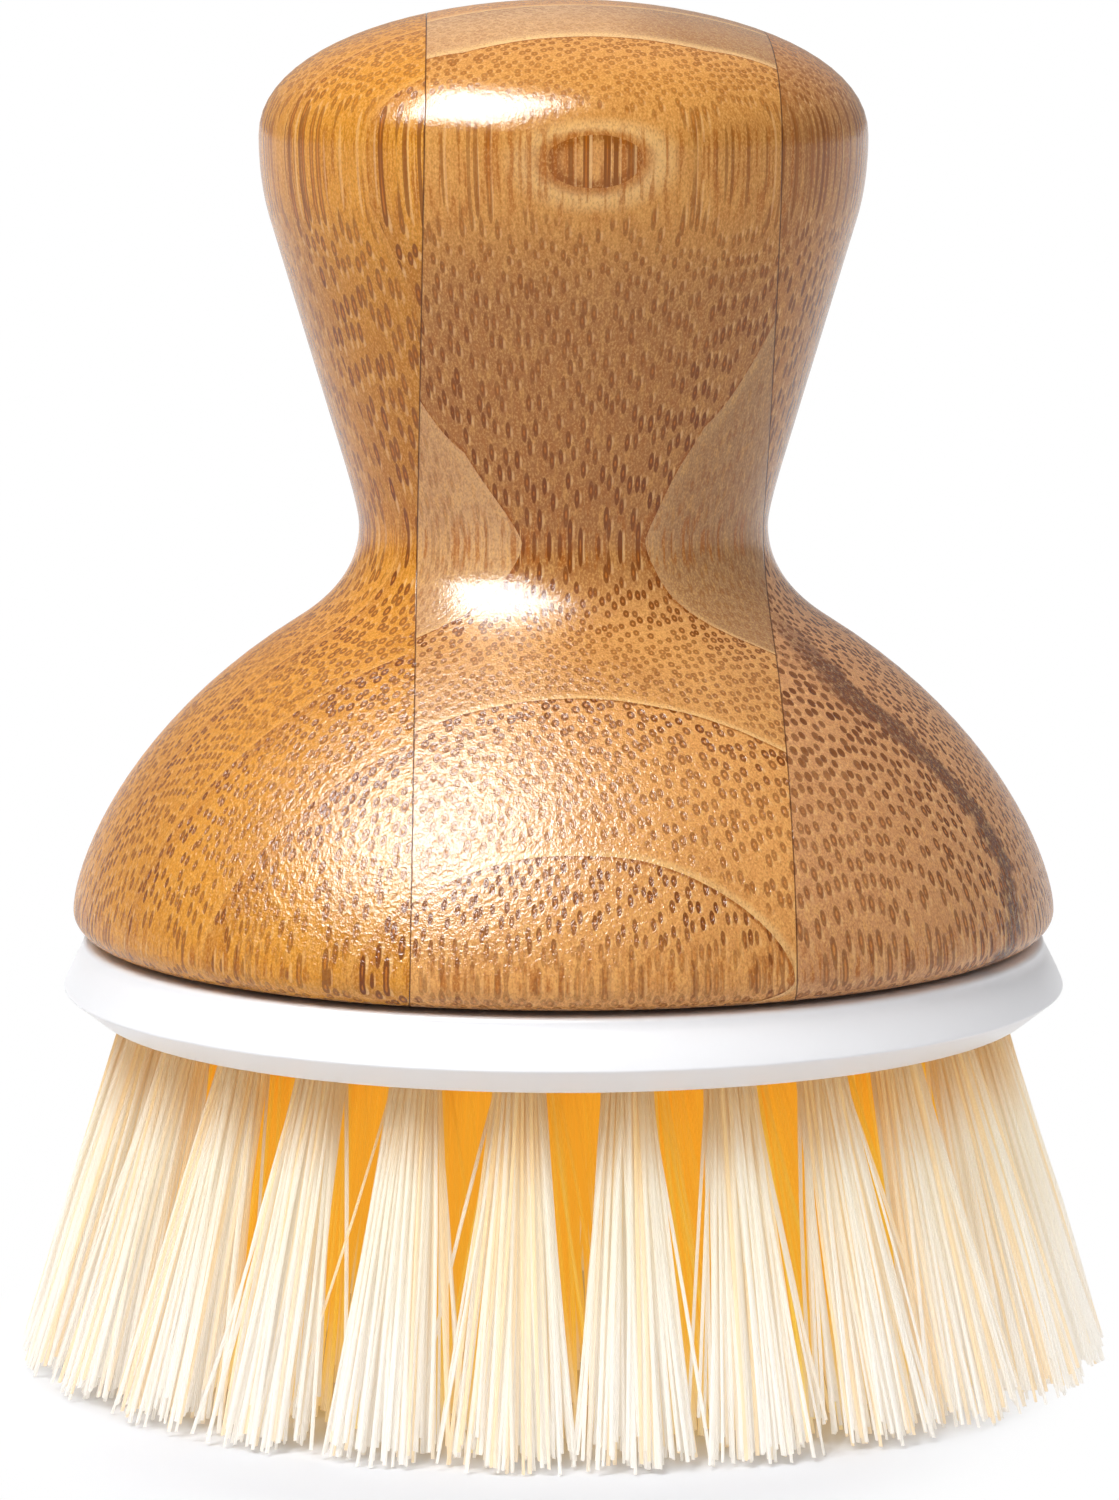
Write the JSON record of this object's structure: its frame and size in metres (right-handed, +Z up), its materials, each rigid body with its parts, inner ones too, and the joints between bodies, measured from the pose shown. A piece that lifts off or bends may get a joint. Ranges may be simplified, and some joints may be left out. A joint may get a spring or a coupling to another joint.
{
  "type": "dish brush",
  "caption": "Palm dish brush: a turned, laminated bamboo knob handle that screws onto a round white plastic brush head with splayed cream and yellow bristle tufts.",
  "frame": {"origin": "on the turning axis, on the surface that the bristle tips stand on", "axes": "+Z up the handle's turning axis, -Y the side that the picture shows"},
  "size_m": [0.081, 0.081, 0.0993],
  "materials": {
    "bamboo": "turned laminated bamboo under a satin lacquer, with brown fibre bundles",
    "insert_plastic": "plain moulded grey plastic",
    "washer_rubber": "soft black rubber",
    "white_plastic": "smooth satin white moulded plastic",
    "cream_bristle": "translucent cream filament",
    "yellow_bristle": "translucent orange-yellow filament"
  },
  "bodies": {
    "head": {"head_disc": "white_plastic", "inner_tufts": "yellow_bristle", "outer_tuft_01": "cream_bristle", "outer_tuft_02": "cream_bristle", "outer_tuft_03": "cream_bristle", "outer_tuft_04": "cream_bristle", "outer_tuft_05": "cream_bristle", "outer_tuft_06": "cream_bristle", "outer_tuft_07": "cream_bristle", "outer_tuft_08": "cream_bristle", "outer_tuft_09": "cream_bristle", "outer_tuft_10": "cream_bristle", "outer_tuft_11": "cream_bristle", "outer_tuft_12": "cream_bristle", "outer_tuft_13": "cream_bristle", "outer_tuft_14": "cream_bristle", "outer_tuft_15": "cream_bristle", "outer_tuft_16": "cream_bristle", "outer_tuft_17": "cream_bristle", "outer_tuft_18": "cream_bristle", "outer_tuft_19": "cream_bristle", "outer_tuft_20": "cream_bristle", "outer_tuft_21": "cream_bristle", "outer_tuft_22": "cream_bristle", "outer_tuft_23": "cream_bristle", "outer_tuft_24": "cream_bristle", "outer_tuft_25": "cream_bristle", "outer_tuft_26": "cream_bristle", "second_tuft_01": "yellow_bristle", "second_tuft_02": "yellow_bristle", "second_tuft_03": "yellow_bristle", "second_tuft_04": "yellow_bristle", "second_tuft_05": "yellow_bristle", "second_tuft_06": "yellow_bristle", "second_tuft_07": "yellow_bristle", "second_tuft_08": "yellow_bristle", "second_tuft_09": "yellow_bristle", "second_tuft_10": "yellow_bristle", "second_tuft_11": "yellow_bristle", "second_tuft_12": "yellow_bristle", "second_tuft_13": "yellow_bristle", "second_tuft_14": "yellow_bristle", "second_tuft_15": "yellow_bristle", "second_tuft_16": "yellow_bristle", "second_tuft_17": "yellow_bristle", "second_tuft_18": "yellow_bristle", "second_tuft_19": "yellow_bristle", "second_tuft_20": "yellow_bristle"},
    "washer": {"seat_washer": "washer_rubber"},
    "handle": {"handle_left_board": "bamboo", "handle_middle_board": "bamboo", "handle_right_board": "bamboo", "handle_insert": "insert_plastic"}
  },
  "joints": [
    {"name": "handle_unscrew", "type": "hinge", "parent": "head", "child": "washer", "pos_m": [0, 0, 0.0306], "axis": [0, 0, 1], "range_deg": [0, 1080]},
    {"name": "handle_lift", "type": "slide", "parent": "washer", "child": "handle", "axis": [0, 0, 1], "range_m": [0, 0.009]}
  ],
  "couplings": [
    {"joint": "handle_lift", "follows": "handle_unscrew", "m_per_rad": 0.00047746}
  ]
}
